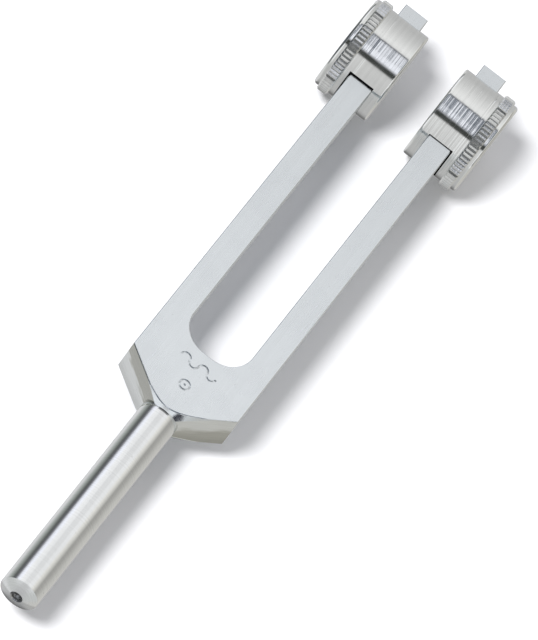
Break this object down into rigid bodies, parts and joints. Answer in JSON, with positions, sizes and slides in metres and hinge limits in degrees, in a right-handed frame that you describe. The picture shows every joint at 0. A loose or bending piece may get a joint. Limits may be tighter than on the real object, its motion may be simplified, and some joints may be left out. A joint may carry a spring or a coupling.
{
  "type": "tuning fork",
  "caption": "Flat-tined aluminium tuning fork with a round stem and knurled sliding weights that clamp to the tines to adjust its pitch.",
  "frame": {"origin": "on the stem's axis, in the plane where the stem's full diameter begins at its free end", "axes": "+Y along the stem towards the tips of the tines, +Z out of the marked face, +X to the right of that face"},
  "size_m": [0.039, 0.1824, 0.0247],
  "materials": {
    "fork_alloy": "satin, finely brushed along the tines; the stem and shoulders are brighter",
    "turned_alloy": "bright turned, with fine rings round the barrel",
    "screw_steel": "dark oiled steel"
  },
  "bodies": {
    "fork": {"fork_body": "fork_alloy"},
    "left_weight": {"left_weight": "turned_alloy"},
    "right_weight": {"right_weight": "turned_alloy"},
    "left_screw": {"left_set_screw": "screw_steel"},
    "right_screw": {"right_set_screw": "screw_steel"}
  },
  "joints": [
    {"name": "left_weight_slide", "type": "slide", "parent": "fork", "child": "left_weight", "axis": [0, 1, 0], "range_m": [-0.074, 0.011]},
    {"name": "right_weight_slide", "type": "slide", "parent": "fork", "child": "right_weight", "axis": [0, 1, 0], "range_m": [-0.074, 0.011]},
    {"name": "left_screw_turn", "type": "hinge", "parent": "left_weight", "child": "left_screw", "pos_m": [-0.0165, 0.1667, 0.0002], "axis": [-1, 0, 0], "range_deg": [0, 360]},
    {"name": "right_screw_turn", "type": "hinge", "parent": "right_weight", "child": "right_screw", "pos_m": [0.0165, 0.1667, -0.0001], "axis": [1, 0, 0], "range_deg": [0, 360]}
  ]
}
